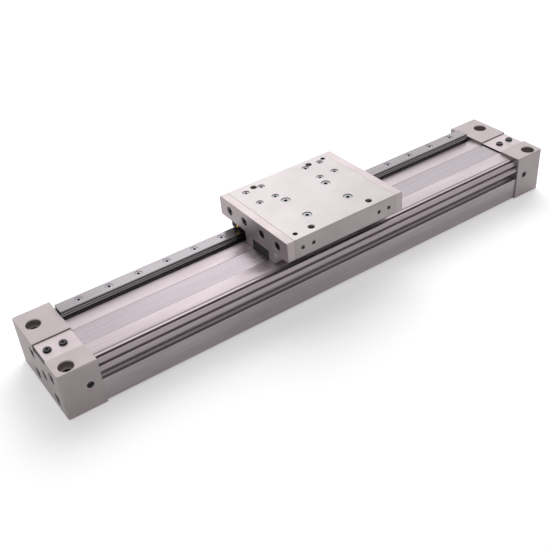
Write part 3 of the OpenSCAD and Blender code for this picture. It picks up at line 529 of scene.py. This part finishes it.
# %% [markdown]
# ## Floor
# A white, matt sheet under the cylinder. It keeps the soft shadow that ties the cylinder
# to the ground. A little glow, for rays that come from the camera or a mirror image,
# lifts the sheet to white and adds no diffuse light. It grows with the distance, so the
# sheet ends in the white of the studio.

# %% Rays that the camera or a mirror image sends out
def seen_or_mirrored(tree):
    """1 for rays from the camera and for mirrored or refracted ones, and 0 for diffuse light."""
    rays = add_node(tree, "ShaderNodeLightPath")
    seen = add_node(tree, "ShaderNodeMath", {"operation": "MAXIMUM"},
                    _0=rays.outputs["Is Camera Ray"], _1=rays.outputs["Is Transmission Ray"])
    return add_node(tree, "ShaderNodeMath", {"operation": "MAXIMUM"}, _0=seen.outputs[0],
                    _1=rays.outputs["Is Glossy Ray"]).outputs[0]

# %% Matt white with a glow that grows with the distance in metres
near_reach, far_reach = 0.35, 2.0
near_glow, far_glow = 0.38, 0.75
matt_white = bpy.data.materials.new("matt_white_sheet")
matt_white.use_nodes = True
sheet = matt_white.node_tree
sheet.nodes.clear()
spot = add_node(sheet, "ShaderNodeTexCoord").outputs["Object"]
reach = add_node(sheet, "ShaderNodeVectorMath", {"operation": "LENGTH"}, _0=spot)
near_to_far = add_node(sheet, "ShaderNodeMapRange", Value=reach.outputs["Value"],
                       From_Min=near_reach, From_Max=far_reach, To_Min=near_glow,
                       To_Max=far_glow)
sheet_glow = add_node(sheet, "ShaderNodeMath", {"operation": "MULTIPLY"},
                      _0=seen_or_mirrored(sheet), _1=near_to_far.outputs["Result"])
paper = add_node(sheet, "ShaderNodeBsdfPrincipled", Base_Color=colour("F8F8F8"), Roughness=0.9,
                 Emission_Color=colour("FFFFFF"), Emission_Strength=sheet_glow.outputs[0])
add_node(sheet, "ShaderNodeOutputMaterial", Surface=paper.outputs["BSDF"])
print(matt_white.name, "glows from", near_glow, "to", far_glow)

# %% Lay the floor
floor_half = 8.0
floor_gap = 0.2 * mm
floor_z = cad_low[2] - floor_gap
corners = [(x, y, floor_z) for x, y in ((-floor_half, -floor_half), (floor_half, -floor_half),
                                        (floor_half, floor_half), (-floor_half, floor_half))]
floor_mesh = bpy.data.meshes.new("floor")
floor_mesh.from_pydata(corners, [], [(0, 1, 2, 3)])
floor_mesh.materials.append(matt_white)
floor = bpy.data.objects.new("floor", floor_mesh)
bpy.context.scene.collection.objects.link(floor)
floor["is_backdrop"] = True
print("floor at", round(floor_z / mm, 2), "mm, half width", floor_half, "m")

# %% [markdown]
# ## Light
# A large softbox stands where the top faces mirror it, so they look brighter than the
# sides, which mirror only the floor. A small one, closer, adds a broad highlight beside
# the table. The key light comes from behind as well, but it is kept out of mirror images
# and lights only what is matt, so it throws the soft shadow and burns nothing out. A
# softbox's glow is its brightness, where 1 is white. A lamp of 4 watts to the square
# metre has that brightness.

# %% Softboxes
white_power = 4.0


def softbox(name, toward, distance, width, height, glow, mirrored):
    """A white rectangle, measured in metres, that faces the origin below the table."""
    lamp = bpy.data.lights.new(name, "AREA")
    lamp.shape = "RECTANGLE"
    lamp.size = width
    lamp.size_y = height
    lamp.energy = glow * white_power * width * height
    made = bpy.data.objects.new(name, lamp)
    aim = Vector(toward).normalized()
    made.location = aim * distance
    made.rotation_euler = aim.to_track_quat("Z", "Y").to_euler()
    made.visible_glossy = mirrored
    bpy.context.scene.collection.objects.link(made)
    print(name, "power", round(lamp.energy, 1), "W")


softbox("wide_softbox", toward=(0.42, 0.68, 0.60), distance=2.0, width=3.4, height=2.6,
        glow=0.85, mirrored=True)
softbox("near_softbox", toward=(0.31, 0.70, 0.62), distance=1.0, width=0.5, height=0.5,
        glow=0.9, mirrored=True)
softbox("key_light", toward=(0.50, 0.50, 0.72), distance=2.0, width=1.8, height=1.4,
        glow=1.3, mirrored=False)

# %% [markdown]
# The world is white where it is seen or mirrored, so the background is white and the
# metal shows it too. As diffuse light it is weaker, which leaves the shadow on the floor.

# %% World
fill_light, white = 0.3, 1.0
studio = bpy.data.worlds.new("studio")
bpy.context.scene.world = studio
studio.use_nodes = True
air = studio.node_tree
air.nodes.clear()
level = add_node(air, "ShaderNodeMapRange", Value=seen_or_mirrored(air), To_Min=fill_light,
                 To_Max=white)
glow = add_node(air, "ShaderNodeBackground", Color=colour("FFFFFF"),
                Strength=level.outputs["Result"])
add_node(air, "ShaderNodeOutputWorld", Surface=glow.outputs["Background"])
print("world:", white, "where seen or mirrored,", fill_light, "as diffuse light")

# %% [markdown]
# ## Camera
# The camera looks down on the left end, from the side away from the rail, and is close
# enough for the far end to look clearly smaller. Its turn, tilt and roll build the three
# axes of the view.

# %% Place the camera
camera_place = Vector((-330.7, -477.6, 413.9)) * mm
camera_turn = math.radians(31.57)
camera_tilt = math.radians(-37.02)
camera_roll = math.radians(-5.4)
forward = Vector((math.sin(camera_turn) * math.cos(camera_tilt),
                  math.cos(camera_turn) * math.cos(camera_tilt), math.sin(camera_tilt)))
level_right = forward.cross(Vector((0, 0, 1))).normalized()
right = level_right * math.cos(camera_roll) + level_right.cross(forward) * math.sin(camera_roll)
up = right.cross(forward)
lens = bpy.data.cameras.new("camera")
lens.lens, lens.shift_x, lens.shift_y = 55.5, 0.0083, 0.0285
camera = bpy.data.objects.new("camera", lens)
turned = Matrix((right, up, -forward)).transposed().to_4x4()
camera.matrix_world = Matrix.Translation(camera_place) @ turned
bpy.context.scene.collection.objects.link(camera)
bpy.context.scene.camera = camera
bpy.context.scene.view_settings.view_transform = "Standard"
print("camera at", [round(v / mm, 1) for v in camera_place], "mm")
